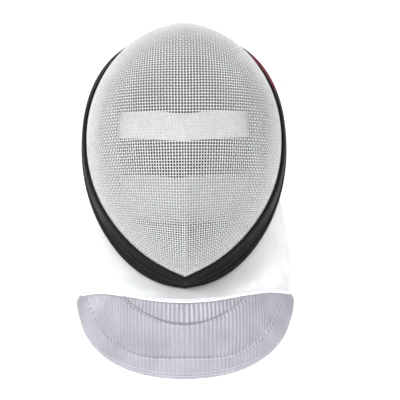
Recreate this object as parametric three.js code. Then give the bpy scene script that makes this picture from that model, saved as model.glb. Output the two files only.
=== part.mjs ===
// A foil fencing mask: a domed wire-mesh face with an edge trim round its rim, a head lining and two
// pads inside it, a rear tongue and an elastic strap, and a throat bib whose lower part is conductive
// cloth. Millimetres, +Z up, the face looks along -Y. The origin is the crown of the head, where it
// meets the underside of the head lining.
import * as THREE from "three";

// ---- driving dimensions -------------------------------------------------------------------------

// The dome stands on the plane of its rim. In that plane x runs across and s up; h is the height off it.
const RIM_TILT = THREE.MathUtils.degToRad(20); // the rim leans back, away from upright
const RIM_HALF_WIDTH = 106.5;
const RIM_UP = 131.5; // from the widest level up to the crown edge
const RIM_DOWN = 156; // and down to the chin edge
const DOME_HEIGHT = 164;
const OUTLINE_POWER = 1.96; // of the superellipse seen along h
const UPPER_SQUARENESS = 0.42; // added to that power at the upper rim
const PROFILE_POWER = 2.6; // of the superellipse seen from the side
const SIDE_TAPER = 0.15; // share of the width lost from rim to top of dome
const CROWN_TAPER = 0.27; // share of the upper reach lost likewise
const RIDGE = { brow: 4, crown: 4, chin: 102, onset: 0.08 }; // how far the halves' centres cross over

const MESH_THICKNESS = 2; // two crossing wires
const GAP = 0.7; // between touching pieces
const TURNS = 64; // facets round the rim

const TRIM = { width: 25, leather: 1.6, roll: 0.9, past: 2.4 };
const LINING = { thickness: 8, edge: 3, inset: 3, from: 19 };
const FACE_WINDOW = { halfWidth: 72, level: 2, halfHeight: 86, upper: 2.4, lower: 5 }; // free of lining
const BROW_PAD = { halfWidth: 73, bottom: -6, top: 35, thickness: 14, edge: 4, inset: 16, insetBelow: 15 };
const CHIN_PAD = {
  halfWidth: 74,
  bottom: -116,
  top: -38,
  thickness: 13,
  edge: 4,
  inset: 15,
  insetBelow: 26, // it leans back from the mesh towards the chin
};
const CHIN_TAPER = -78; // where the apron starts to narrow
const TONGUE = { thickness: 7, edge: 3, top: 62, widest: 84, tip: 6, wrap: 0.0062 };
const STRAP = { halfWidth: 103, back: 126, behindRim: 6.5, level: -9, height: 42, thickness: 1.8 };
const RED_TAB = { from: 37, to: 60, inner: 24.6, outer: 14, thickness: 0.8 };
const BIB = { thickness: 3, behindRim: 6.6, spread: 61, halfWidth: 113.4, seamZ: -161.6, sideY: 18 };
const BIB_CORNER = 9; // height of the lower bib at its two corners

// Where the head's crown sits, from the middle of the rim.
const SEAT = new THREE.Vector3(0, -10, 117.5);

// ---- the dome's surface -------------------------------------------------------------------------

const smooth = (t) => THREE.MathUtils.smoothstep(t, 0, 1);

// How far each half of the dome is shifted across the middle, which leaves a ridge where they meet.
function ridgeShift(q, s) {
  const end = s < 0 ? RIDGE.chin : RIDGE.crown;
  const along = smooth(Math.abs(s) / (s < 0 ? RIM_DOWN : RIM_UP));
  return (q / (q + RIDGE.onset)) * (1 + RIDGE.onset) * (RIDGE.brow + end * along);
}

// Negative inside the dome, positive outside it.
function domeField(x, s, h) {
  const q = THREE.MathUtils.clamp(h / DOME_HEIGHT, 0, 1.2);
  const shift = ridgeShift(q, s);
  const upper = s > 0;
  const reach = upper ? RIM_UP * (1 - CROWN_TAPER * q) : RIM_DOWN;
  const halfWidth = RIM_HALF_WIDTH * (1 - SIDE_TAPER * q);
  const n = OUTLINE_POWER + (upper ? UPPER_SQUARENESS * Math.max(0, 1 - q) ** 8 : 0);
  const across = (Math.abs(x) + shift) / (halfWidth + shift);
  const ridge = (shift / (halfWidth + shift)) ** n;
  const rho = (across ** n + (Math.abs(s) / reach) ** n * (1 - ridge)) ** (1 / n);
  return rho ** PROFILE_POWER + q ** PROFILE_POWER - 1;
}

function bisect(inside, outside, point) {
  for (let i = 0; i < 36; i += 1) {
    const middle = (inside + outside) / 2;
    const p = point(middle);
    if (domeField(p.x, p.y, p.z) < 0) inside = middle;
    else outside = middle;
  }
  return point((inside + outside) / 2);
}

// A point of the dome: turn goes round from the crown, rise from the rim (0) to the top (90 degrees).
function domePoint(turn, rise) {
  const ray = new THREE.Vector3(
    Math.sin(turn) * Math.cos(rise),
    Math.cos(turn) * Math.cos(rise),
    Math.sin(rise),
  );
  return bisect(5, 260, (r) => ray.clone().multiplyScalar(r));
}

function domeNormal(p) {
  const e = 0.05;
  const h = Math.max(p.z, e);
  const slope = (a, b) => domeField(...a) - domeField(...b);
  const n = new THREE.Vector3(
    Math.abs(p.x) < e ? 0 : slope([p.x + e, p.y, h], [p.x - e, p.y, h]),
    slope([p.x, p.y + e, h], [p.x, p.y - e, h]),
    slope([p.x, p.y, h + e], [p.x, p.y, h - e]),
  );
  return n.normalize();
}

// A meridian of the dome, as points with their distance from the rim along the surface.
function meridian(turn, steps = 90) {
  const line = [];
  let arc = 0;
  for (let i = 0; i <= steps; i += 1) {
    const point = domePoint(turn, (Math.PI / 2) * (i / steps) ** 1.4);
    if (i) arc += point.distanceTo(line[i - 1].point);
    line.push({ arc, point });
  }
  return line;
}

function alongMeridian(line, arc) {
  let i = 1;
  while (i < line.length - 1 && line[i].arc < arc) i += 1;
  const [a, b] = [line[i - 1], line[i]];
  return a.point.clone().lerp(b.point, (arc - a.arc) / (b.arc - a.arc)); // below 0 it runs on past the rim
}

// ---- between the rim's frame and the upright frame ----------------------------------------------

const rimFrame = new THREE.Group();
rimFrame.rotation.x = Math.PI / 2 - RIM_TILT;
rimFrame.position.copy(SEAT).negate();
const uprightFrame = new THREE.Group();
uprightFrame.position.copy(SEAT).negate();

const toUpright = (p) => p.clone().applyEuler(rimFrame.rotation);
const upAxis = new THREE.Vector3(1, 0, 0);
const toRim = (p) => p.clone().applyAxisAngle(upAxis, -rimFrame.rotation.x);

// The dome's surface straight ahead of a point of the upright x-z plane, and its normal.
function frontOfDome(x, z) {
  const p = toUpright(bisect(-30, -200, (y) => toRim(new THREE.Vector3(x, y, z))));
  const normal = toUpright(domeNormal(toRim(p)));
  return { point: p, normal };
}

// ---- closed walls -------------------------------------------------------------------------------

// A body swept round a closed ring of sections, each a loop of the same number of points.
function ringOfSections(sections) {
  const positions = sections.flat().flatMap((p) => [p.x, p.y, p.z]);
  const n = sections[0].length;
  const index = [];
  for (let r = 0; r < sections.length; r += 1) {
    const [a, b] = [r * n, ((r + 1) % sections.length) * n];
    for (let k = 0; k < n; k += 1) {
      const l = (k + 1) % n;
      index.push(a + k, b + l, b + k, a + k, a + l, b + l);
    }
  }
  return outwards(positions, index);
}

// A wall between an outer and an inner sheet, both given over u and v from 0 to 1.
function sheetWall(columns, rows, outer, inner) {
  const positions = [];
  const index = [];
  const width = rows + 1;
  const inside = (columns + 1) * width;
  for (const side of [outer, inner])
    for (let i = 0; i <= columns; i += 1)
      for (let j = 0; j <= rows; j += 1) {
        const p = side(i / columns, j / rows);
        positions.push(p.x, p.y, p.z);
      }
  const at = (i, j) => i * width + j;
  const quad = (a, b, c, d) => index.push(a, b, c, a, c, d);
  for (let i = 0; i < columns; i += 1)
    for (let j = 0; j < rows; j += 1) {
      quad(at(i, j), at(i + 1, j), at(i + 1, j + 1), at(i, j + 1));
      quad(inside + at(i, j), inside + at(i, j + 1), inside + at(i + 1, j + 1), inside + at(i + 1, j));
    }
  for (let i = 0; i < columns; i += 1) {
    quad(at(i + 1, 0), at(i, 0), inside + at(i, 0), inside + at(i + 1, 0));
    quad(at(i, rows), at(i + 1, rows), inside + at(i + 1, rows), inside + at(i, rows));
  }
  for (let j = 0; j < rows; j += 1) {
    quad(at(0, j), at(0, j + 1), inside + at(0, j + 1), inside + at(0, j));
    quad(at(columns, j + 1), at(columns, j), inside + at(columns, j), inside + at(columns, j + 1));
  }
  return outwards(positions, index);
}

// The same triangles, turned round if they face inwards.
function outwards(positions, index) {
  let volume = 0;
  const corner = (i) => new THREE.Vector3().fromArray(positions, 3 * index[i]);
  for (let i = 0; i < index.length; i += 3)
    volume += corner(i).dot(corner(i + 1).cross(corner(i + 2)));
  if (volume < 0)
    for (let i = 0; i < index.length; i += 3)
      [index[i + 1], index[i + 2]] = [index[i + 2], index[i + 1]];
  const geometry = new THREE.BufferGeometry();
  geometry.setAttribute("position", new THREE.Float32BufferAttribute(positions, 3));
  geometry.setIndex(index);
  return geometry;
}

// 1 in the middle of a span and 0 at its ends, flat in between for high powers.
const crown = (t, power) => Math.max(0, 1 - Math.abs(2 * t - 1) ** power) ** (1 / power);

// ---- pieces on the dome -------------------------------------------------------------------------

// Distances from the rim at which the mesh under the trim has a row of points, so that the two agree.
const UNDER_TRIM = [0, 1 / 3, 2 / 3, 1].map((share) => share * TRIM.width);

function wireMeshGeometry() {
  const rowsAbove = 10;
  const rises = UNDER_TRIM.length - 1 + rowsAbove;
  const top = domePoint(0, Math.PI / 2);
  const outer = [];
  for (let i = 0; i < TURNS; i += 1) {
    const line = meridian((2 * Math.PI * i) / TURNS);
    const whole = line[line.length - 1].arc;
    for (const arc of UNDER_TRIM) outer.push(alongMeridian(line, arc));
    for (let j = 1; j < rowsAbove; j += 1)
      outer.push(alongMeridian(line, TRIM.width + ((whole - TRIM.width) * j) / rowsAbove));
  }
  outer.push(top);
  const inner = outer.map((p) => p.clone().addScaledVector(domeNormal(p), -MESH_THICKNESS));
  const positions = [...outer, ...inner].flatMap((p) => [p.x, p.y, p.z]);
  const index = [];
  const at = (side, i, j) => side * outer.length + (j === rises ? TURNS * rises : (i % TURNS) * rises + j);
  for (let i = 0; i < TURNS; i += 1) {
    for (let j = 0; j < rises; j += 1) {
      index.push(at(0, i, j), at(0, i + 1, j), at(0, i, j + 1));
      index.push(at(1, i, j), at(1, i, j + 1), at(1, i + 1, j));
      if (j === rises - 1) continue;
      index.push(at(0, i + 1, j), at(0, i + 1, j + 1), at(0, i, j + 1));
      index.push(at(1, i + 1, j), at(1, i, j + 1), at(1, i + 1, j + 1));
    }
    index.push(at(0, i, 0), at(1, i, 0), at(1, i + 1, 0));
    index.push(at(0, i, 0), at(1, i + 1, 0), at(0, i + 1, 0));
  }
  return outwards(positions, index);
}

// The trim's section, as distance from the rim along the mesh and height off its outer face. It wraps
// the rim: an outer flange, a roll past the edge and a shorter inner flange.
function trimSection() {
  const outside = GAP + TRIM.leather;
  const inside = -MESH_THICKNESS - GAP;
  const [, near, middle, far] = UNDER_TRIM;
  return [
    { arc: far, off: GAP },
    { arc: far, off: GAP + 0.4 * TRIM.leather },
    { arc: far - 2.5, off: outside },
    { arc: far / 2, off: outside },
    { arc: 5, off: outside },
    { arc: 2, off: outside + TRIM.roll },
    { arc: -TRIM.past, off: outside + 0.7 * TRIM.roll },
    { arc: -TRIM.past, off: inside },
    { arc: 0, off: inside - TRIM.leather },
    { arc: middle, off: inside - 0.8 * TRIM.leather },
    { arc: middle, off: inside },
    { arc: near, off: inside },
    { arc: -2 * GAP, off: inside },
    { arc: -2 * GAP, off: GAP },
    { arc: near, off: GAP },
    { arc: middle, off: GAP },
  ];
}

function onMeridian(line, arc, off) {
  const foot = alongMeridian(line, Math.max(arc, 0));
  const normal = domeNormal(foot);
  const edge = line[0].point.clone().sub(line[4].point).normalize();
  return foot.addScaledVector(normal, off).addScaledVector(edge, Math.max(-arc, 0));
}

function trimGeometry() {
  const section = trimSection();
  const rings = [];
  for (let i = 0; i < TURNS; i += 1) {
    const line = meridian((2 * Math.PI * i) / TURNS);
    rings.push(section.map(({ arc, off }) => onMeridian(line, arc, off)));
  }
  return ringOfSections(rings);
}

// The lining is a ring that runs from under the trim forwards to the edge of the face window.
function liningGeometry() {
  const columns = TURNS;
  const rows = 8;
  const free = (p) => {
    const across = Math.abs(p.x) / FACE_WINDOW.halfWidth;
    const up = Math.abs(p.z - FACE_WINDOW.level) / FACE_WINDOW.halfHeight;
    const power = p.z > FACE_WINDOW.level ? FACE_WINDOW.upper : FACE_WINDOW.lower;
    return p.y < -40 && across ** power + up ** power < 1;
  };
  const section = [];
  for (let k = 0; k <= rows; k += 1) section.push({ v: k / rows, face: 0 });
  for (let k = rows; k >= 0; k -= 1) section.push({ v: k / rows, face: 1 });
  const rings = [];
  for (let i = 0; i < columns; i += 1) {
    const line = meridian((2 * Math.PI * i) / columns);
    const entry = line.find(({ point }) => free(toUpright(point)));
    rings.push(
      section.map(({ v, face }) => {
        const depth = LINING.edge + (LINING.thickness - LINING.edge) * crown(v, 5);
        const foot = alongMeridian(line, THREE.MathUtils.lerp(LINING.from, entry.arc, v));
        return foot.addScaledVector(domeNormal(foot), -LINING.inset - face * depth);
      }),
    );
  }
  return ringOfSections(rings);
}

function redTabGeometry() {
  const at = (u, v, face) => {
    const turn = THREE.MathUtils.degToRad(RED_TAB.from + (RED_TAB.to - RED_TAB.from) * u);
    const arc = RED_TAB.outer + (RED_TAB.inner - RED_TAB.outer) * v;
    const off = 2 * GAP + TRIM.leather + RED_TAB.thickness * face;
    return onMeridian(meridian(turn), arc, off);
  };
  return sheetWall(10, 2, (u, v) => at(u, v, 1), (u, v) => at(u, v, 0));
}

// ---- pads behind the mesh -----------------------------------------------------------------------

// A pad keeps its width across and stands off the mesh straight back and down or up, further at its
// bottom where it leans to the chin.
function padGeometry(pad, columns, rows, halfWidthAt) {
  const at = (u, v, face) => {
    const z = pad.bottom + (pad.top - pad.bottom) * v;
    const x = halfWidthAt(z) * (2 * u - 1);
    const bulk = crown(u, 6) * crown(v, 3);
    const depth = pad.edge + (pad.thickness - pad.edge) * bulk;
    const stand = THREE.MathUtils.lerp(pad.insetBelow, pad.inset, v) + pad.thickness / 2;
    const { point, normal } = frontOfDome(x, z);
    return point.addScaledVector(normal.setX(0).normalize(), -MESH_THICKNESS - stand + face * depth);
  };
  return sheetWall(columns, rows, (u, v) => at(u, v, 0.5), (u, v) => at(u, v, -0.5));
}

function browPadGeometry() {
  const middle = (BROW_PAD.top + BROW_PAD.bottom) / 2;
  const round = (z) => (2 * (z - middle)) / (BROW_PAD.top - BROW_PAD.bottom);
  return padGeometry(BROW_PAD, 18, 6, (z) => BROW_PAD.halfWidth - 5 * Math.abs(round(z)) ** 3);
}

function chinPadGeometry() {
  const round = (z) => Math.min(0, z - CHIN_TAPER) / (CHIN_PAD.bottom - 20 - CHIN_TAPER);
  return padGeometry(CHIN_PAD, 18, 10, (z) => CHIN_PAD.halfWidth * Math.sqrt(1 - round(z) ** 2));
}

// ---- tongue and strap ---------------------------------------------------------------------------

// Half width down the tongue: it widens behind the ears and rounds off at its end.
const tongueWidth = (v) =>
  THREE.MathUtils.lerp(TONGUE.top, TONGUE.widest, smooth(v * 2.2)) * crown(0.5 + v / 2, 4);

function tongueGeometry() {
  const path = new THREE.CatmullRomCurve3(
    [
      [0, 20, 109],
      [0, 52, 107],
      [0, 88, 88],
      [0, 108, 48],
      [0, 111, 4],
      [0, 98, -54],
    ].map((p) => new THREE.Vector3(...p)),
  );
  const at = (u, v, face) => {
    const centre = path.getPoint(v);
    const tangent = path.getTangent(v);
    const out = new THREE.Vector3(0, -tangent.z, tangent.y); // away from the head
    const halfWidth = TONGUE.tip + tongueWidth(v);
    const x = halfWidth * (2 * u - 1);
    const depth = TONGUE.edge + (TONGUE.thickness - TONGUE.edge) * crown(u, 6) * crown(v, 8);
    const sag = TONGUE.wrap * x * x;
    return centre.setX(x).addScaledVector(out, face * depth - sag);
  };
  return sheetWall(12, 16, (u, v) => at(u, v, 0.5), (u, v) => at(u, v, -0.5));
}

function strapGeometry() {
  const at = (u, v, face) => {
    const turn = Math.PI * u;
    const reach = STRAP.halfWidth + face * STRAP.thickness;
    const z = STRAP.level + STRAP.height * (v - 0.5);
    const front = z * Math.tan(RIM_TILT) + STRAP.behindRim;
    const depth = STRAP.back - front + face * STRAP.thickness;
    return new THREE.Vector3(reach * Math.cos(turn), front + depth * Math.sin(turn) ** 0.9, z);
  };
  return sheetWall(32, 2, (u, v) => at(u, v, 1), (u, v) => at(u, v, 0));
}

// ---- throat bib ---------------------------------------------------------------------------------

const power = (value, p) => Math.sign(value) * Math.abs(value) ** p;

// The bib's top edge, just past the trim, for t from -1 to 1 round the chin.
function bibTop(t) {
  const turn = Math.PI - THREE.MathUtils.degToRad(BIB.spread) * t;
  const rim = domePoint(turn, 0);
  const outward = new THREE.Vector3(rim.x, rim.y, 0).normalize();
  return toUpright(rim.addScaledVector(outward, 0.5).setZ(-BIB.behindRim));
}

// A level curve of the bib: its half width, height at the sides, drop to the middle, how far forward the
// middle is, and how much it arches up between middle and side.
function bibCurve(t, { halfWidth, side, drop, front, arch }) {
  const turn = (Math.PI / 2) * t;
  const z = side - drop * power(Math.cos(turn), 0.9) + arch * Math.sin(2 * turn) ** 2;
  const y = BIB.sideY - (BIB.sideY - front) * power(Math.cos(turn), 0.8);
  return new THREE.Vector3(halfWidth * power(Math.sin(turn), 0.92), y, z);
}

const SEAM = { halfWidth: BIB.halfWidth, side: BIB.seamZ, drop: 1.1, front: -66, arch: 7.5 };
const HEM = { ...SEAM, side: BIB.seamZ - BIB_CORNER, drop: 70, front: -84, arch: 0 };

// The two tucks across the lower bib: where each crosses the middle, how it lifts to the sides, and how
// far the cloth below its edge stands out.
const TUCKS = [
  { middle: -186.5, lift: 26, at: 63, power: 2, depth: 3 },
  { middle: -219.5, lift: 50, at: 97, power: 4.2, depth: 2.6 },
];

function tuckRelief(p) {
  let relief = 0;
  for (const tuck of TUCKS) {
    const below = tuck.middle + tuck.lift * (Math.abs(p.x) / tuck.at) ** tuck.power - p.z;
    const lip = smooth(below / 5 + 0.5) * Math.exp(-Math.max(0, below) / 26);
    const hollow = Math.exp(-((Math.min(0, below) / 9) ** 2)) * smooth(0.5 - below / 5);
    relief += tuck.depth * (lip - 0.5 * hollow) * smooth((114 - Math.abs(p.x)) / 30);
  }
  return relief;
}

function bibUpperSheet(t, v) {
  const seam = bibCurve(t, SEAM);
  const top = bibTop(t);
  const bulge = 5 * Math.sin(Math.PI * v) * smooth(Math.abs(t) * 1.6);
  const p = top.lerp(seam, v);
  const out = new THREE.Vector3(p.x, p.y - 20, 0).normalize();
  return p.addScaledVector(out, bulge);
}

function bibLowerSheet(t, v) {
  const p = bibCurve(t, SEAM).lerp(bibCurve(t, HEM), v);
  const out = new THREE.Vector3(p.x, p.y - 20, 0).normalize();
  return p.addScaledVector(out, tuckRelief(p) + 3 * Math.sin(Math.PI * v));
}

function bibGeometry(sheet, columns, rows, from, to) {
  const at = (u, v, face) => {
    const t = 2 * u - 1;
    const w = from + (to - from) * v;
    const e = 0.01;
    const p = sheet(t, w);
    const across = sheet(Math.min(1, t + e), w).sub(sheet(Math.max(-1, t - e), w));
    const down = sheet(t, Math.min(1, w + e)).sub(sheet(t, Math.max(0, w - e)));
    return p.addScaledVector(across.cross(down).normalize(), face * BIB.thickness);
  };
  return sheetWall(columns, rows, (u, v) => at(u, v, 0.5), (u, v) => at(u, v, -0.5));
}

// ---- materials and assembly ---------------------------------------------------------------------

const paint = (color, roughness, metalness = 0) =>
  new THREE.MeshStandardMaterial({ color, roughness, metalness, side: THREE.DoubleSide });

const WIRE = paint(0xd9dad9, 0.45, 0.1);
const BLACK_LEATHER = paint(0x242422, 0.55);
const BLACK_CLOTH = paint(0x1a1a1c, 0.9);
const WHITE_CLOTH = paint(0xf2f4f3, 0.85);
const LAME = paint(0xc3c3cb, 0.6, 0.3);
const RED_CLOTH = paint(0xb5122a, 0.8);

function add(frame, name, geometry, material) {
  geometry.computeVertexNormals();
  const mesh = new THREE.Mesh(geometry, material);
  mesh.name = name;
  frame.add(mesh);
}

add(rimFrame, "wire_mesh", wireMeshGeometry(), WIRE);
add(rimFrame, "edge_trim", trimGeometry(), BLACK_LEATHER);
add(rimFrame, "head_lining", liningGeometry(), BLACK_CLOTH);
add(rimFrame, "side_tab", redTabGeometry(), RED_CLOTH);
add(uprightFrame, "brow_pad", browPadGeometry(), WHITE_CLOTH);
add(uprightFrame, "chin_pad", chinPadGeometry(), WHITE_CLOTH);
add(uprightFrame, "rear_tongue", tongueGeometry(), BLACK_CLOTH);
add(uprightFrame, "head_strap", strapGeometry(), BLACK_CLOTH);
add(uprightFrame, "bib_upper", bibGeometry(bibUpperSheet, 40, 6, 0, 0.983), WHITE_CLOTH);
add(uprightFrame, "bib_lower", bibGeometry(bibLowerSheet, 40, 18, 0.02, 1), LAME);

const mask = new THREE.Group();
mask.name = "fencing_mask";
mask.add(rimFrame, uprightFrame);

export default mask;
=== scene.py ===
# %% [markdown]
# # A foil fencing mask
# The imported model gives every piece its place: a domed face of wire mesh, an edge trim, a lining,
# two pads, a tongue, a strap and a bib. Here each soft or woven piece is made again with its real
# surface. Lengths below are in millimetres while a shape is worked out, and in metres once it is a
# mesh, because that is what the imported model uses.

import math

import bmesh
import bpy
import numpy as np
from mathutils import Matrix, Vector


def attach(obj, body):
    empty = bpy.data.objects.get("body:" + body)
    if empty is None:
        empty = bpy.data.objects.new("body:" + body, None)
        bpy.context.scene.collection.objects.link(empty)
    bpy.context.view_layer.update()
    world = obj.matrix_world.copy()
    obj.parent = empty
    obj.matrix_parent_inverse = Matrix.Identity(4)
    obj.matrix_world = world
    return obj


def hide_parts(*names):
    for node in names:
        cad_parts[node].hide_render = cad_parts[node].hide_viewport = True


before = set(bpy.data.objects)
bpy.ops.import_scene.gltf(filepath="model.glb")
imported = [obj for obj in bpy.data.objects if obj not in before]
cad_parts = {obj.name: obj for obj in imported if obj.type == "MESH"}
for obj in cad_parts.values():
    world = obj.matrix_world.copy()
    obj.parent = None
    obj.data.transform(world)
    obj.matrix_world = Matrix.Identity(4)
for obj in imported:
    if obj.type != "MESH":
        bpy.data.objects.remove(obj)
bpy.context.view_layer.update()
print("packed pieces:", sorted(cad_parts))

# %% [markdown]
# ## Camera, light and floor
# The mask is looked at from straight ahead, a little below its middle, with a long lens. A pale
# sweep stands under and far behind it. Large soft lights and a bright sky keep the shadows weak, as
# in a studio. The sweep is a strip that is extruded backwards and upwards in small turns.

# %% Camera
camera = bpy.data.objects.new("camera", bpy.data.cameras.new("camera"))
camera.location = (0, -1.390, -0.1763)
camera.rotation_euler = (math.radians(90), math.radians(0.5), 0)
camera.data.lens = 116.6
camera.data.shift_x = 0.0388
bpy.context.collection.objects.link(camera)
bpy.context.scene.camera = camera
bpy.context.scene.view_settings.view_transform = "Standard"
print("camera at", tuple(round(v, 3) for v in camera.location))


# %% Lights and sky
def soft_light(name, at, towards, size, power):
    light = bpy.data.lights.new(name, "AREA")
    light.shape = "DISK"
    light.size = size
    light.energy = power
    lamp = bpy.data.objects.new(name, light)
    lamp.location = at
    lamp.rotation_euler = (Vector(towards) - Vector(at)).to_track_quat("-Z", "Y").to_euler()
    bpy.context.collection.objects.link(lamp)
    return lamp


MIDDLE = (0, -0.04, -0.16)
soft_light("key", (-1.1, -1.4, 0.75), MIDDLE, 0.9, 17)
soft_light("fill", (1.2, -1.3, 0.2), MIDDLE, 1.2, 4)
soft_light("top", (0.1, -0.2, 1.5), MIDDLE, 1.2, 10)
soft_light("behind", (0.3, 1.8, 0.9), MIDDLE, 1.2, 8)
sky = bpy.data.worlds.new("studio")
bpy.context.scene.world = sky
sky.use_nodes = True
sky.node_tree.nodes["Background"].inputs["Color"].default_value = (1, 1, 1, 1)
sky.node_tree.nodes["Background"].inputs["Strength"].default_value = 0.5


# %% [markdown]
# Every finish starts from the same plain shader. Its fixed values are set on its own sockets, and
# only what changes over the surface comes through nodes.

# %% Material helpers
def finish_of(name, color, roughness, **sockets):
    material = bpy.data.materials.new(name)
    material.use_nodes = True
    shader = material.node_tree.nodes["Principled BSDF"]
    shader.inputs["Base Color"].default_value = (*color, 1)
    shader.inputs["Roughness"].default_value = roughness
    for socket, value in sockets.items():
        shader.inputs[socket.replace("_", " ")].default_value = value
    return material


def node(material, kind, **settings):
    made = material.node_tree.nodes.new(kind)
    for key, value in settings.items():
        if hasattr(made, key):
            setattr(made, key, value)
        else:
            made.inputs[key.replace("_", " ")].default_value = value
    return made


def wire(material, source, socket, target, into):
    material.node_tree.links.new(source.outputs[socket], target.inputs[into])


def bump_from(material, height, socket, strength, distance):
    bump = node(material, "ShaderNodeBump", Strength=strength, Distance=distance)
    wire(material, height, socket, bump, "Height")
    wire(material, bump, "Normal", material.node_tree.nodes["Principled BSDF"], "Normal")
    return bump


# %% Floor
def sweep_floor():
    bm = bmesh.new()
    ends = [bm.verts.new((x, -3.0, -0.40)) for x in (-6, 6)]
    edge = bm.edges.new(ends)
    run = [(6.2, 0.0)] + [(0.16 * math.cos(a), 0.16 * math.sin(a)) for a in np.radians(np.arange(5, 90, 9))]
    run.append((0.0, 3.2))
    for back, up in run:
        made = bmesh.ops.extrude_edge_only(bm, edges=[edge])["geom"]
        moved = [g for g in made if isinstance(g, bmesh.types.BMVert)]
        bmesh.ops.translate(bm, verts=moved, vec=(0, back, up))
        edge = next(g for g in made if isinstance(g, bmesh.types.BMEdge))
    bmesh.ops.recalc_face_normals(bm, faces=bm.faces)
    mesh = bpy.data.meshes.new("floor")
    bm.to_mesh(mesh)
    bm.free()
    for face in mesh.polygons:
        face.use_smooth = True
    return bpy.data.objects.new("floor", mesh)


floor = sweep_floor()
pale = finish_of("pale_floor", (0.95, 0.95, 0.95), 0.9, Emission_Strength=0.45)
pale.node_tree.nodes["Principled BSDF"].inputs["Emission Color"].default_value = (1, 1, 1, 1)
floor.data.materials.append(pale)
bpy.context.collection.objects.link(floor)
print("floor faces:", len(floor.data.polygons))

# %% [markdown]
# ## The dome
# The mesh is pressed from a flat sheet of woven wire into a dome with a soft ridge down the middle.
# It stands on the plane of its rim, which leans back by twenty degrees. The shape could be sculpted,
# but a formula gives a smooth surface with a normal everywhere, which the wires, trim and lining
# all need. The formula is a rounded cross section that shrinks with height, in two halves that are
# slid towards each other, so that they meet in a ridge.

# %% The dome's sizes and formula
TILT = math.radians(20)
HALF_WIDTH, UP, DOWN, HEIGHT = 106.5, 131.5, 156.0, 164.0
PROFILE = 2.6
MIDDLE_OF_RIM = np.array([0, 10.0, -117.5])


def smooth(t):
    t = np.clip(t, 0, 1)
    return t * t * (3 - 2 * t)


def dome(p):
    """Below 0 inside the dome and above 0 outside it, for points (x, s up the rim, h off the rim)."""
    x, s, h = np.abs(p[..., 0]), p[..., 1], p[..., 2]
    q = np.clip(h / HEIGHT, 0, 1.2)
    upper = s > 0
    along = smooth(np.abs(s) / np.where(upper, UP, DOWN))
    shift = q / (q + 0.08) * 1.08 * (4 + np.where(upper, 4, 102) * along)
    reach = np.where(upper, UP * (1 - 0.27 * q), DOWN)
    width = HALF_WIDTH * (1 - 0.15 * q)
    n = 1.96 + np.where(upper, 0.42 * np.maximum(0, 1 - q) ** 8, 0)
    ridge = (shift / (width + shift)) ** n
    rho = (((x + shift) / (width + shift)) ** n + (np.abs(s) / reach) ** n * (1 - ridge)) ** (1 / n)
    return rho**PROFILE + q**PROFILE - 1


def slope(p, step=0.05):
    parts = [(dome(p + d) - dome(p - d)) / (2 * step) for d in np.eye(3) * step]
    return np.stack(parts, -1)


def outward(p):
    g = slope(np.stack([p[..., 0], p[..., 1], np.maximum(p[..., 2], 0.05)], -1))
    g[..., 0] = np.where(np.abs(p[..., 0]) < 0.1, 0, g[..., 0])
    return g / np.linalg.norm(g, axis=-1, keepdims=True)


def upright(p):
    """Turns points of the rim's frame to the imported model's frame, still in millimetres."""
    x, s, h = p[..., 0], p[..., 1], p[..., 2]
    y = s * math.sin(TILT) - h * math.cos(TILT)
    z = s * math.cos(TILT) + h * math.sin(TILT)
    return np.stack([x, y, z], -1) + MIDDLE_OF_RIM


def to_rim(p):
    x, y, z = np.moveaxis(p - MIDDLE_OF_RIM, -1, 0)
    s = y * math.sin(TILT) + z * math.cos(TILT)
    h = -y * math.cos(TILT) + z * math.sin(TILT)
    return np.stack([x, s, h], -1)


# %% Lines up the dome, from the rim to its top
def between(point, inside, outside):
    inside, outside = np.array(inside, float), np.array(outside, float)
    for _ in range(40):
        middle = (inside + outside) / 2
        within = dome(point(middle)) < 0
        inside, outside = np.where(within, middle, inside), np.where(within, outside, middle)
    return point((inside + outside) / 2)


def lines_up(turns, steps=90):
    """For each turn round the rim, the points of the dome and their distance from the rim."""
    rise = (np.pi / 2) * (np.arange(steps + 1) / steps) ** 1.4
    turn = np.asarray(turns)[:, None]
    ray = np.stack([np.sin(turn) * np.cos(rise), np.cos(turn) * np.cos(rise), np.sin(rise) + 0 * turn], -1)
    reach = np.full(ray.shape[:2], 1.0)
    points = between(lambda r: ray * r[..., None], reach * 5, reach * 260)
    hops = np.linalg.norm(np.diff(points, axis=1), axis=-1)
    return points, np.concatenate([np.zeros((len(points), 1)), np.cumsum(hops, 1)], 1)


def on_dome(points, arcs, arc, off):
    """Points at a distance arc from the rim, lifted off the dome; below 0 they run on past the rim."""
    foot = np.stack([
        [np.interp(max(a, 0), arcs[i], points[i, :, k]) for k in range(3)] for i, a in enumerate(arc)
    ])
    edge = points[:, 0] - points[:, 4]
    edge /= np.linalg.norm(edge, axis=-1, keepdims=True)
    return foot + outward(foot) * np.asarray(off)[:, None] + edge * np.maximum(-np.asarray(arc), 0)[:, None]


front = upright(between(lambda h: np.stack([0 * h, 0 * h, h], -1), np.array([5.0]), np.array([260.0])))
print("the dome's top is at", np.round(front[0] / 1000, 4))

# %% [markdown]
# ## The woven wires
# Real mesh is plain weave: each wire goes over and under the ones that cross it. When the flat sheet
# is pressed, no wire stretches, so every cell keeps four equal sides and only leans over, like a
# fishnet. The net is worked out in that way: from the ridge and one level line, each new crossing is
# the point of the dome that is one pitch from its two neighbours. One half is made and mirrored. Each
# wire is then a poly spline with a round bevel, which swings half a wire out and in at the crossings.

# %% Lay the net on half of the dome
PITCH, WIRE = 3.0, 1.0


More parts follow.
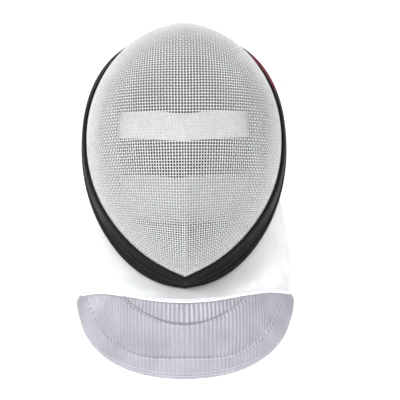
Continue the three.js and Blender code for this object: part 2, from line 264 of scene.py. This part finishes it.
def step_on(p, last, plane):
    """One pitch onwards from p in a plane, staying on the dome."""
    q = p + (p - last)
    for _ in range(20):
        g = slope(q[None])[0]
        g -= (g @ plane) * plane
        q = q - dome(q[None])[0] / (g @ g) * g
        way = q - p
        way -= (way @ plane) * plane
        q = p + way / np.linalg.norm(way) * PITCH
    return q


def line_on(start, way, plane, count):
    line = [start - PITCH * way, start]
    for _ in range(count):
        line.append(step_on(line[-1], line[-2], plane))
    return np.array(line[1:])


def fourth_corner(a, b, c):
    """The corner across from a in cells with sides of one pitch, on the dome."""
    p = b + c - a
    for _ in range(12):
        miss = [((p - b) ** 2).sum(-1) - PITCH**2, ((p - c) ** 2).sum(-1) - PITCH**2, dome(p) * 1e3]
        miss = np.stack(miss, -1)
        rate = np.stack([2 * (p - b), 2 * (p - c), slope(p) * 1e3], -2)
        turned = np.swapaxes(rate, -1, -2)
        step = np.linalg.solve(turned @ rate + np.eye(3) * 1e-3, turned @ miss[..., None])[..., 0]
        long = np.linalg.norm(step, axis=-1, keepdims=True)
        p = p - step * np.minimum(1, 1 / np.maximum(long, 1e-9))
    return p, np.abs(miss).max(-1)


def lay_net(down, across):
    rows, columns = len(down), len(across)
    net = np.full((rows, columns, 3), np.nan)
    net[:, 0], net[0] = down, across
    good = np.zeros((rows, columns), bool)
    good[:, 0] = good[0] = True
    for k in range(2, rows + columns - 1):
        i = np.arange(max(1, k - columns + 1), min(rows - 1, k - 1) + 1)
        j = k - i
        ready = good[i - 1, j - 1] & good[i - 1, j] & good[i, j - 1] & (net[i - 1, j - 1, 2] > -12)
        i, j = i[ready], j[ready]
        if len(i):
            a = net[i - 1, j - 1]
            net[i, j], miss = fourth_corner(a, net[i - 1, j], net[i, j - 1])
            good[i, j] = (miss < 0.05) & (np.linalg.norm(net[i, j] - a, axis=-1) > 0.8)
    net[~good] = np.nan
    return net


level = np.array([0, math.cos(TILT), math.sin(TILT)])
ahead = np.array([0, -math.sin(TILT), math.cos(TILT)])
start = between(lambda r: ahead * r[..., None], np.array([50.0]), np.array([260.0]))[0]
across = line_on(start, np.array([1.0, 0, 0]), level, 85)
upwards = line_on(start, level, np.array([1.0, 0, 0]), 104)
downwards = line_on(start, -level, np.array([1.0, 0, 0]), 85)
upper_net, lower_net = lay_net(upwards, across), lay_net(downwards, across)
half_net = np.concatenate([lower_net[:0:-1], upper_net], 0)
pad = [(0, 0), (half_net.shape[1] - 1, 0), (0, 0)]
net = np.pad(half_net, pad, constant_values=np.nan)
net[:, : half_net.shape[1] - 1] = half_net[:, :0:-1] * [-1, 1, 1]
print("crossings of the net:", int((net[..., 2] > 0).sum()))


# %% Turn the net's lines into round wires
def runs_of(line, keep):
    """The unbroken stretches of a line where keep holds."""
    edges = np.flatnonzero(np.diff(np.concatenate([[0], keep.astype(int), [0]])))
    return [line[a:b] for a, b in zip(edges[::2], edges[1::2]) if b - a > 3]


def woven(lines, parity):
    """Lines with a point at and between the crossings, swinging out and in by half a wire."""
    made = []
    for number, line in enumerate(lines):
        lift = 0.5 * WIRE * (-1.0) ** (np.arange(len(line)) + number + parity)
        inside = line[:, 2] > 1.5
        swung = line + outward(np.nan_to_num(line)) * (lift - WIRE)[:, None]
        points = np.full((2 * len(line) - 1, 3), np.nan)
        points[::2] = swung
        points[1::2] = (swung[1:] + swung[:-1]) / 2
        kept = np.zeros(len(points), bool)
        kept[::2] = inside
        kept[1::2] = inside[1:] & inside[:-1]
        made += runs_of(points, kept & np.isfinite(points[:, 0]))
    return made


def wires_mesh(name, lines):
    curve = bpy.data.curves.new(name, "CURVE")
    curve.dimensions = "3D"
    curve.bevel_depth = WIRE / 2000
    curve.bevel_resolution = 1
    curve.use_fill_caps = True
    for line in lines:
        spline = curve.splines.new("POLY")
        spline.points.add(len(line) - 1)
        place = np.concatenate([upright(line) / 1000, np.ones((len(line), 1))], 1)
        spline.points.foreach_set("co", place.ravel())
    drawn = bpy.data.objects.new(name + "_curve", curve)
    bpy.context.collection.objects.link(drawn)
    bpy.context.view_layer.update()
    mesh = bpy.data.meshes.new_from_object(drawn.evaluated_get(bpy.context.evaluated_depsgraph_get()))
    bpy.data.objects.remove(drawn)
    mesh.name = name
    for face in mesh.polygons:
        face.use_smooth = True
    wires = bpy.data.objects.new(name, mesh)
    bpy.context.collection.objects.link(wires)
    print(name, "wires:", len(lines), "triangles:", 2 * len(mesh.polygons))
    return wires


rows = woven(net, 0)
columns = woven(np.swapaxes(net, 0, 1), 1)
rows.sort(key=lambda line: upright(line)[:, 2].mean())
columns.sort(key=lambda line: line[:, 0].mean())
cut_r, cut_c = len(rows) // 2, len(columns) // 2
wire_pieces = [
    wires_mesh("cross_wires_low", rows[:cut_r]),
    wires_mesh("cross_wires_high", rows[cut_r:]),
    wires_mesh("long_wires_left", columns[:cut_c]),
    wires_mesh("long_wires_right", columns[cut_c:]),
]

# %% [markdown]
# The wires are enamelled white over steel. The coat is slightly glossy and a little uneven, and it
# wears to a greyer tone in small patches. A fine noise on the object's own coordinates does both.

# %% Finish of the wires
enamel = finish_of("white_enamel", (0.78, 0.79, 0.785), 0.38, Metallic=0.1, Coat_Weight=0.15)
spots = node(enamel, "ShaderNodeTexCoord")
grain = node(enamel, "ShaderNodeTexNoise", Scale=900.0, Detail=3.0)
wire(enamel, spots, "Object", grain, "Vector")
tone = node(enamel, "ShaderNodeValToRGB")
tone.color_ramp.elements[0].position = 0.3
tone.color_ramp.elements[0].color = (0.52, 0.53, 0.53, 1)
tone.color_ramp.elements[1].position = 0.55
tone.color_ramp.elements[1].color = (0.82, 0.83, 0.825, 1)
wire(enamel, grain, "Fac", tone, "Fac")
wire(enamel, tone, "Color", enamel.node_tree.nodes["Principled BSDF"], "Base Color")
for piece in wire_pieces:
    piece.data.materials.clear()
    piece.data.materials.append(enamel)
    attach(piece, "root")
    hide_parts("wire_mesh")


# %% [markdown]
# ## Cloth and leather from grids
# Every sewn piece starts as a flat grid, like a cut blank. Each grid point is moved to its place by a
# rule in two measures, u across and v along. The grid keeps its UV map, so weave and ribs can follow
# the cloth. A wall then gets its thickness from Solidify, worked into the mesh.

# %% Grid helper
def cloth_from_grid(name, columns, rows, place, thickness=0.0, weld=False, smoothed=True):
    bm = bmesh.new()
    bmesh.ops.create_grid(bm, x_segments=columns, y_segments=rows, size=0.5, calc_uvs=True)
    bm.verts.ensure_lookup_table()
    flat = np.array([v.co for v in bm.verts]) + 0.5
    for vert, point in zip(bm.verts, place(flat[:, 0], flat[:, 1]) / 1000):
        vert.co = point
    if weld:
        bmesh.ops.remove_doubles(bm, verts=bm.verts, dist=1e-6)
    bmesh.ops.recalc_face_normals(bm, faces=bm.faces)
    if thickness:
        middle = sum((f.calc_center_median() for f in bm.faces), Vector()) / len(bm.faces)
        lean = sum((f.calc_center_median() - middle).dot(f.normal) for f in bm.faces)
        if lean < 0:
            bmesh.ops.reverse_faces(bm, faces=bm.faces)
        bmesh.ops.solidify(bm, geom=bm.faces[:], thickness=thickness / 1000)
        bmesh.ops.recalc_face_normals(bm, faces=bm.faces)
    for face in bm.faces:
        face.smooth = smoothed
    mesh = bpy.data.meshes.new(name)
    bm.to_mesh(mesh)
    bm.free()
    piece = bpy.data.objects.new(name, mesh)
    bpy.context.collection.objects.link(piece)
    print(name, "faces:", len(mesh.polygons))
    return piece


def dress(piece, material, slot, *nodes):
    piece.data.materials.clear()
    piece.data.materials.append(material)
    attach(piece, "root")
    if nodes:
        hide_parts(*nodes)


# %% Stitches, as many small rods joined in one mesh
def stitches(name, path, length=2.2, gap=1.1, radius=0.28):
    """Short rods laid along a line of points in millimetres."""
    hops = np.linalg.norm(np.diff(path, axis=0), axis=1)
    along = np.concatenate([[0], np.cumsum(hops)])
    starts = np.arange(0, along[-1] - length, length + gap)
    at = lambda d: np.stack([np.interp(d, along, path[:, k]) for k in range(3)], -1)
    first, last = at(starts), at(starts + length)
    bm = bmesh.new()
    bmesh.ops.create_cone(bm, cap_ends=True, segments=5, radius1=1, radius2=1, depth=1)
    ring = np.array([v.co for v in bm.verts])
    faces = [[v.index for v in f.verts] for f in bm.faces]
    bm.free()
    way = (last - first) / np.linalg.norm(last - first, axis=1, keepdims=True)
    side = np.cross(way, [0.3, 0.5, 0.8])
    side /= np.linalg.norm(side, axis=1, keepdims=True)
    other = np.cross(way, side)
    middle = (first + last) / 2
    rods = [middle + side * x * radius + other * y * radius + way * z * length for x, y, z in ring]
    points = np.stack(rods, 1).reshape(-1, 3) / 1000
    joined = [[i + k * len(ring) for i in face] for k in range(len(starts)) for face in faces]
    mesh = bpy.data.meshes.new(name)
    mesh.from_pydata(points.tolist(), [], joined)
    sewn = bpy.data.objects.new(name, mesh)
    bpy.context.collection.objects.link(sewn)
    print(name, "stitches:", len(starts))
    return sewn


# %% [markdown]
# ## The edge trim
# A black coated strip is folded over the mesh's rim and pressed on. Outside it is broad, inside it is
# narrower, and its outer edge is a soft roll. The section below is a table of distance from the rim
# and height off the mesh; it is swept round the rim on one welded grid. A sewn line runs inside the
# roll.

# %% Sweep the trim
TRIM_SECTION = np.array([
    # distance from the rim, height off the mesh
    (25.2, 0.35), (25.6, 1.2), (25.2, 2.4), (24.0, 3.2), (21.0, 3.5), (14.0, 3.6), (7.6, 3.5),
    (6.6, 2.9), (5.8, 2.8), (5.0, 3.4), (3.8, 4.0), (1.8, 4.3), (-0.6, 4.1), (-2.4, 3.2),
    (-3.4, 1.4), (-3.5, -0.8), (-2.8, -2.6), (-1.2, -3.9), (1.5, -4.5), (8.0, -4.4), (15.5, -4.1),
    (16.6, -3.4), (16.6, -2.6), (8.3, -2.6), (-1.6, -2.6), (-1.6, 0.5), (8.3, 0.6), (16.7, 0.6),
])
ROUND = 240
rim_turns = 2 * np.pi * np.arange(ROUND) / ROUND
rim_points, rim_arcs = lines_up(rim_turns)


def trim_place(u, v):
    i = np.round(u * ROUND).astype(int) % ROUND
    arc, off = TRIM_SECTION[np.round(v * len(TRIM_SECTION)).astype(int) % len(TRIM_SECTION)].T
    return upright(on_dome(rim_points[i], rim_arcs[i], arc, off))


trim = cloth_from_grid("folded_trim", ROUND, len(TRIM_SECTION), trim_place, weld=True)
closed_ring = np.append(np.arange(ROUND), 0)
seam_line = on_dome(rim_points[closed_ring], rim_arcs[closed_ring], [6.2] * (ROUND + 1), [3.0] * (ROUND + 1))
trim_seam = stitches("trim_stitches", upright(seam_line), 2.6, 0.9, 0.33)

# %% [markdown]
# The strip is leather-grained vinyl: near black, half glossy, with a fine pebble. Cells of a Voronoi
# pattern give the pebble, and a slow noise turns the gloss up and down where hands have rubbed it.

# %% Finish of the trim
vinyl = finish_of("black_vinyl", (0.0075, 0.0075, 0.007), 0.62, Specular_IOR_Level=0.16)
spots = node(vinyl, "ShaderNodeTexCoord")
pebble = node(vinyl, "ShaderNodeTexVoronoi", Scale=1300.0)
wire(vinyl, spots, "Object", pebble, "Vector")
bump_from(vinyl, pebble, "Distance", 0.35, 0.0003)
rubbed = node(vinyl, "ShaderNodeTexNoise", Scale=60.0, Detail=4.0)
wire(vinyl, spots, "Object", rubbed, "Vector")
gloss = node(vinyl, "ShaderNodeMapRange", From_Min=0.3, From_Max=0.7, To_Min=0.52, To_Max=0.7)
wire(vinyl, rubbed, "Fac", gloss, "Value")
wire(vinyl, gloss, "Result", vinyl.node_tree.nodes["Principled BSDF"], "Roughness")
dress(trim, vinyl, "trim", "edge_trim")
black_thread = finish_of("black_thread", (0.06, 0.06, 0.058), 0.6)
dress(trim_seam, black_thread, "trim")


# %% [markdown]
# ## Cloth finishes
# Woven cloth is two sets of threads. Two wave patterns across the piece's own UV map, multiplied,
# raise a small weave; a noise varies the tone so that no area is one flat colour.

# %% Woven finish
def woven_cloth(name, color, roughness, threads_u, threads_v, depth, tone_spread=0.06, sheen=0.2):
    cloth = finish_of(name, color, roughness, Sheen_Weight=sheen, Sheen_Roughness=0.5)
    spots = node(cloth, "ShaderNodeTexCoord")
    heights = []
    for way, threads in (("X", threads_u), ("Y", threads_v)):
        wave = node(cloth, "ShaderNodeTexWave", bands_direction=way, Scale=threads / 20.0)
        wire(cloth, spots, "UV", wave, "Vector")
        heights.append(wave)
    weave = node(cloth, "ShaderNodeMath", operation="MULTIPLY")
    cloth.node_tree.links.new(heights[0].outputs["Fac"], weave.inputs[0])
    cloth.node_tree.links.new(heights[1].outputs["Fac"], weave.inputs[1])
    bump_from(cloth, weave, "Value", 0.5, depth)
    mottle = node(cloth, "ShaderNodeTexNoise", Scale=45.0, Detail=5.0)
    wire(cloth, spots, "Object", mottle, "Vector")
    ramp = node(cloth, "ShaderNodeValToRGB")
    for stop, share, place in zip(ramp.color_ramp.elements, (1 - tone_spread, 1 + tone_spread), (0.35, 0.65)):
        stop.position = place
        stop.color = (*[min(1, c * share) for c in color], 1)
    wire(cloth, mottle, "Fac", ramp, "Fac")
    wire(cloth, ramp, "Color", cloth.node_tree.nodes["Principled BSDF"], "Base Color")
    return cloth


white_twill = woven_cloth("white_twill", (0.86, 0.875, 0.885), 0.85, 520, 240, 0.0002)
pad_cloth = woven_cloth("pad_cloth", (0.88, 0.885, 0.88), 0.9, 200, 90, 0.0003)
black_cloth = woven_cloth("black_cloth", (0.012, 0.012, 0.014), 0.95, 300, 300, 0.0003, 0.3, 0.05)
elastic_band = woven_cloth("elastic_band", (0.016, 0.016, 0.018), 0.9, 900, 26, 0.0005, 0.25, 0.05)
red_webbing = woven_cloth("red_webbing", (0.45, 0.012, 0.03), 0.8, 60, 40, 0.0003, 0.15)
print("cloth finishes:", [m.name for m in bpy.data.materials])

# %% [markdown]
# ## The throat bib
# The bib hangs from the trim round the chin: white cloth down to a level seam, then ribbed grey
# conductive cloth to a curved hem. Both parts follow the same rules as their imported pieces. The grey
# part has two curved tucks, each a sewn edge that stands over a shallow hollow. Its ribs are real
# relief: the grid has five columns to a rib.

# %% Curves of the bib
BIB = {"wall": 3.0, "behind": 6.6, "spread": 61, "half": 113.4, "seam": -161.6, "side": 18.0}


def power(value, p):
    return np.sign(value) * np.abs(value) ** p


def bib_top(t):
    turn = np.pi - np.radians(BIB["spread"]) * t
    ray = np.stack([np.sin(turn), np.cos(turn), 0 * turn], -1)
    rim = between(lambda r: ray * r[..., None], 5 + 0 * turn, 260 + 0 * turn)
    away = rim / np.linalg.norm(rim, axis=-1, keepdims=True)
    return upright(rim + 0.5 * away - [0, 0, BIB["behind"]])


def bib_curve(t, side, drop, ahead, arch):
    turn = np.pi / 2 * t
    z = side - drop * power(np.cos(turn), 0.9) + arch * np.sin(2 * turn) ** 2
    y = BIB["side"] - (BIB["side"] - ahead) * power(np.cos(turn), 0.8)
    return np.stack([BIB["half"] * power(np.sin(turn), 0.92), y, z], -1) + MIDDLE_OF_RIM


def seam_curve(t):
    return bib_curve(t, BIB["seam"], 1.1, -66, 7.5)


def hem_curve(t):
    return bib_curve(t, BIB["seam"] - 9, 70, -84, 0)


def away_from_neck(p):
    out = p * [1, 1, 0] - [0, 30, 0]
    return out / np.linalg.norm(out, axis=-1, keepdims=True)


def upper_sheet(t, v):
    p = bib_top(t) * (1 - v[:, None]) + seam_curve(t) * v[:, None]
    bulge = 5 * np.sin(np.pi * v) * smooth(np.abs(t) * 1.6)
    return p + away_from_neck(p) * bulge[:, None]


TUCKS = (
    # height at the middle, lift, how far out it is reached, its bend, how far the cloth stands out
    (-186.5, 26, 63, 2.0, 2.6),
    (-219.5, 50, 97, 4.2, 2.2),
)


def tucks(x, z):
    """Relief of the two tucks, for x across and z up from the middle of the rim."""
    relief = 0
    for middle, lift, at, bend, deep in TUCKS:
        below = middle + lift * (np.abs(x) / at) ** bend - z
        lip = smooth(below / 3.4 + 0.5) * np.exp(-np.maximum(0, below) / 24)
        hollow = np.exp(-((np.minimum(0, below) / 9) ** 2)) * smooth(0.5 - below / 3.4)
        relief = relief + deep * (lip - 0.15 * hollow) * smooth((112 - np.abs(x)) / 30)
    return relief


def lower_sheet(t, v):
    p = seam_curve(t) * (1 - v[:, None]) + hem_curve(t) * v[:, None]
    relief = tucks(p[:, 0], p[:, 2] - MIDDLE_OF_RIM[2]) + 3 * np.sin(np.pi * v)
    return p + away_from_neck(p) * relief[:, None]


def lifted(sheet, t, v, height):
    """Points of a bib sheet moved off it along its own normal."""
    e = 0.004
    across = sheet(np.minimum(t + e, 1), v) - sheet(np.maximum(t - e, -1), v)
    down = sheet(t, np.minimum(v + e, 1)) - sheet(t, np.maximum(v - e, 0))
    normal = np.cross(down, across)
    normal /= np.linalg.norm(normal, axis=-1, keepdims=True)
    return sheet(t, v) + normal * np.reshape(height, (-1, 1))


probe = lifted(lower_sheet, np.array([0.0]), np.array([0.5]), [10.0]) - lower_sheet(np.array([0.0]), np.array([0.5]))
print("a lift of 10 mm moves the bib's front by", np.round(probe[0], 2))

# %% White upper part
def upper_place(u, v):
    t = 2 * u - 1
    soft = 0.9 * np.sin(9 * t + 5 * v) * np.sin(np.pi * v) * smooth(np.abs(t) * 2)
    puckers = 0.35 * np.sin(150 * t + 8 * np.sin(31 * t)) * np.exp(-(1 - v) / 0.05)
    return lifted(upper_sheet, t, 0.983 * v, 1.5 + soft + puckers)


bib_white = cloth_from_grid("bib_white", 260, 40, upper_place, thickness=2.6)
dress(bib_white, white_twill, "white_cloth", "bib_upper")


def flat_size(sheet, first, last):
    """Width and length of a bib sheet laid flat, and its area, in metres and square metres."""
    t = np.linspace(-1, 1, 401)
    rows = [sheet(t, np.full(401, v)) / 1000 for v in np.linspace(first, last, 61)]
    steps = [np.linalg.norm(np.diff(row, axis=0), axis=1) for row in rows]
    falls = [np.linalg.norm(b - a, axis=1) for a, b in zip(rows, rows[1:])]
    width = max(step.sum() for step in steps)
    length = sum(falls).max()
    area = sum(((a + b) / 2 * (f[1:] + f[:-1]) / 2).sum() for a, b, f in zip(steps, steps[1:], falls))
    return (width, length), area


white_flat, white_area = flat_size(upper_sheet, 0, 0.983)
print("white cloth, flat:", np.round(white_flat, 4), "area", round(white_area, 4))


# %% Grey ribbed lower part
RIBS = 88


def lower_place(u, v):
    """The front for the first half of v and the back for the second, meeting in thin edges."""
    t, down = 2 * u - 1, 1 - np.abs(2 * v - 1)
    to_hem = (1 - down) * 84
    ribs = 1.3 * np.abs(np.sin(np.pi * RIBS * u)) ** 0.55
    pressed = 1 - 0.6 * np.exp(-(((to_hem - 3) / 1.0) ** 2)) - 0.6 * np.exp(-(((to_hem - 6) / 1.0) ** 2))
    wander = 0.5 * np.sin(7 * t + 3 * down) * np.sin(np.pi * down)
    height = np.where(v < 0.5, 0.2 + ribs * pressed, -1.5)
    edges = np.minimum(1, 45 * np.minimum(down, 1 - down)) * np.minimum(1, 70 * np.minimum(u, 1 - u))
    return lifted(lower_sheet, t, 0.02 + 0.98 * down, wander - 0.4 + (height + 0.4) * np.sqrt(edges))


bib_grey = cloth_from_grid("bib_grey", RIBS * 5, 160, lower_place, weld=True)

# %% [markdown]
# Conductive cloth has metal in its threads: a cool silver grey, partly metallic but rough, with bright
# and dull threads side by side. The weave is drawn on the UV map and a fine noise breaks it up.

# %% Finish of the grey cloth
lame = woven_cloth("silver_lame", (0.46, 0.46, 0.515), 0.5, 1400, 420, 0.00025, 0.08, 0.1)
lame.node_tree.nodes["Principled BSDF"].inputs["Metallic"].default_value = 0.35
worn = node(lame, "ShaderNodeTexNoise", Scale=900.0, Detail=2.0)
wire(lame, node(lame, "ShaderNodeTexCoord"), "Object", worn, "Vector")
sparkle = node(lame, "ShaderNodeMapRange", From_Min=0.35, From_Max=0.65, To_Min=0.28, To_Max=0.62)
wire(lame, worn, "Fac", sparkle, "Value")
wire(lame, sparkle, "Result", lame.node_tree.nodes["Principled BSDF"], "Roughness")
dress(bib_grey, lame, "lame", "bib_lower")
grey_flat, grey_area = flat_size(lower_sheet, 0.02, 1)
print("grey cloth, flat:", np.round(grey_flat, 4), "area", round(grey_area, 4))

# %% Stitches of the hem, the tucks and the seam
silver_thread = finish_of("silver_thread", (0.86, 0.86, 0.88), 0.5)
span = np.linspace(-0.985, 0.985, 400)
for number, up in enumerate((3.0, 6.0)):
    line = lifted(lower_sheet, span, np.full(400, 1 - up / 84), np.full(400, 1.3))
    dress(stitches(f"hem_stitches_{number}", line), silver_thread, "lame")


def down_to(level_at):
    """For each place across, how far down the lower sheet its height falls to a given line."""
    high, low = np.zeros(400), np.ones(400)
    for _ in range(30):
        v = (high + low) / 2
        p = lower_sheet(span, v)
        above = p[:, 2] - MIDDLE_OF_RIM[2] > level_at(p[:, 0])
        high, low = np.where(above, v, high), np.where(above, low, v)
    return (high + low) / 2


for number, (middle, lift, at, bend, deep) in enumerate(TUCKS):
    v = down_to(lambda x: middle - 1.6 + lift * (np.abs(x) / at) ** bend)
    kept = (v > 0.03) & (np.abs(span) < 0.8)
    line = lifted(lower_sheet, span[kept], v[kept], np.full(kept.sum(), 1.5))
    dress(stitches(f"tuck_stitches_{number}", line), silver_thread, "lame")
line = lifted(upper_sheet, span, np.full(400, 0.955), np.full(400, 1.75))
dress(stitches("seam_stitches", line), white_twill, "white_cloth")

# %% [markdown]
# ## Pads
# The forehead band and the chin apron are foam in white cloth, behind the mesh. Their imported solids
# are the right size but flat. Each is copied, rebuilt with even small faces, and blown up a little by
# the cloth simulation, as a cover pulls over foam. The movement is capped, so that it stays clear of
# the wires.

# %% Blow up a pad
def merged_copy(name, source):
    bm = bmesh.new()
    bm.from_mesh(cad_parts[source].data)
    bmesh.ops.remove_doubles(bm, verts=bm.verts, dist=1e-6)
    mesh = bpy.data.meshes.new(name)
    bm.to_mesh(mesh)
    bm.free()
    copy = bpy.data.objects.new(name, mesh)
    bpy.context.collection.objects.link(copy)
    return copy


def bake_modifiers(piece):
    shaped = piece.evaluated_get(bpy.context.evaluated_depsgraph_get())
    mesh = bpy.data.meshes.new_from_object(shaped)
    piece.modifiers.clear()
    piece.data = mesh


def stuffed(name, source, voxel, shrink, pressure, cap, creases=None):
    pad = merged_copy(name, source)
    remesh = pad.modifiers.new("even faces", "REMESH")
    remesh.mode = "VOXEL"
    remesh.voxel_size = voxel / 1000
    bake_modifiers(pad)
    count = len(pad.data.vertices)
    normals = np.empty(3 * count)
    before = np.empty(3 * count)
    pad.data.vertices.foreach_get("normal", normals)
    pad.data.vertices.foreach_get("co", before)
    slim = before - normals * shrink / 1000
    pad.data.vertices.foreach_set("co", slim)
    cloth = pad.modifiers.new("cover", "CLOTH")
    cloth.settings.use_pressure = True
    cloth.settings.uniform_pressure_force = pressure
    cloth.settings.effector_weights.gravity = 0
    scene = bpy.context.scene
    for step in range(1, 21):
        scene.frame_set(step)
    bake_modifiers(pad)
    scene.frame_set(1)
    after = np.empty(3 * count)
    pad.data.vertices.foreach_get("co", after)
    moved = (after - slim).reshape(-1, 3)
    far = np.linalg.norm(moved, axis=1, keepdims=True)
    moved *= np.minimum(1, cap / 1000 / np.maximum(far, 1e-9))
    slim = (slim.reshape(-1, 3) + moved).ravel()
    if creases is not None:
        slim = creases(slim.reshape(-1, 3) * 1000).ravel() / 1000
    pad.data.vertices.foreach_set("co", slim)
    pad.data.update()
    for face in pad.data.polygons:
        face.use_smooth = True
    finer = pad.modifiers.new("smooth", "SUBSURF")
    finer.levels = finer.render_levels = 1
    print(name, "faces:", len(pad.data.polygons))
    return pad


def brow_seam(p):
    """A sewn channel along the band, a quarter of its height from the top."""
    z = p[:, 2:3] - MIDDLE_OF_RIM[2]
    groove = 2.2 * np.exp(-(((z - 24.5) / 2.2) ** 2))
    centre = np.array([0, 30.0, -100.0])
    inward = centre - p
    return p + inward / np.linalg.norm(inward, axis=1, keepdims=True) * groove


brow = stuffed("brow_band", "brow_pad", 3.5, 1.5, 4, 5, brow_seam)
chin = stuffed("chin_apron", "chin_pad", 4, 1.5, 4, 5)
# The chin apron's cover is white cloth; its mid grey colour here is painted shade, for the shade that falls on it
# behind the mesh.
shaded_cloth = woven_cloth("chin_painted_shade_cloth", (0.36, 0.365, 0.365), 0.9, 200, 90, 0.0003, 0.12)
for pad, source, cover in ((brow, "brow_pad", pad_cloth), (chin, "chin_pad", shaded_cloth)):
    dress(pad, cover, "white_cloth", source)

# %% [markdown]
# ## Lining, tongue and strap
# The lining and the tongue are thin foam in black cloth, quilted in channels. They are made the same
# way as the pads, with a light pressure. The strap is a flat elastic band, so it is a grid with a
# small thickness instead; simulation would only crumple it.

# %% Lining and tongue
lining = stuffed("quilted_lining", "head_lining", 4, 0.8, 2, 2.5)
tongue = stuffed("padded_tongue", "rear_tongue", 4, 0.8, 2, 2.5)
for pad, source in ((lining, "head_lining"), (tongue, "rear_tongue")):
    dress(pad, black_cloth, "black_cloth", source)


# %% Strap
def strap_place(u, v):
    turn = np.pi * u
    z = -9 + 42 * (v - 0.5)
    ahead = z * math.tan(TILT) + 6.5
    cord_rib = 0.25 * np.abs(np.sin(np.pi * 14 * v))
    reach = 103 + cord_rib
    y = ahead + (126 - ahead + cord_rib) * np.sin(turn) ** 0.9
    return np.stack([reach * np.cos(turn), y, z], -1) + MIDDLE_OF_RIM


strap = cloth_from_grid("elastic_strap", 90, 84, strap_place, thickness=1.8)
dress(strap, elastic_band, "black_cloth", "head_strap")

# %% [markdown]
# ## The red tab
# A scrap of red webbing is tucked between mesh and trim on one side. It is a small grid with a wall.

# %% Red tab
TAB_STEPS = 30
tab_points, tab_arcs = lines_up(np.radians(np.linspace(37, 60, TAB_STEPS + 1)))


def tab_place(u, v):
    i = np.round(u * TAB_STEPS).astype(int)
    arc = 14 + 10.6 * v
    return upright(on_dome(tab_points[i], tab_arcs[i], arc, np.full(len(u), 4.0)))


tab = cloth_from_grid("red_tab", TAB_STEPS, 8, tab_place, thickness=0.8)
dress(tab, red_webbing, "red_cloth", "side_tab")
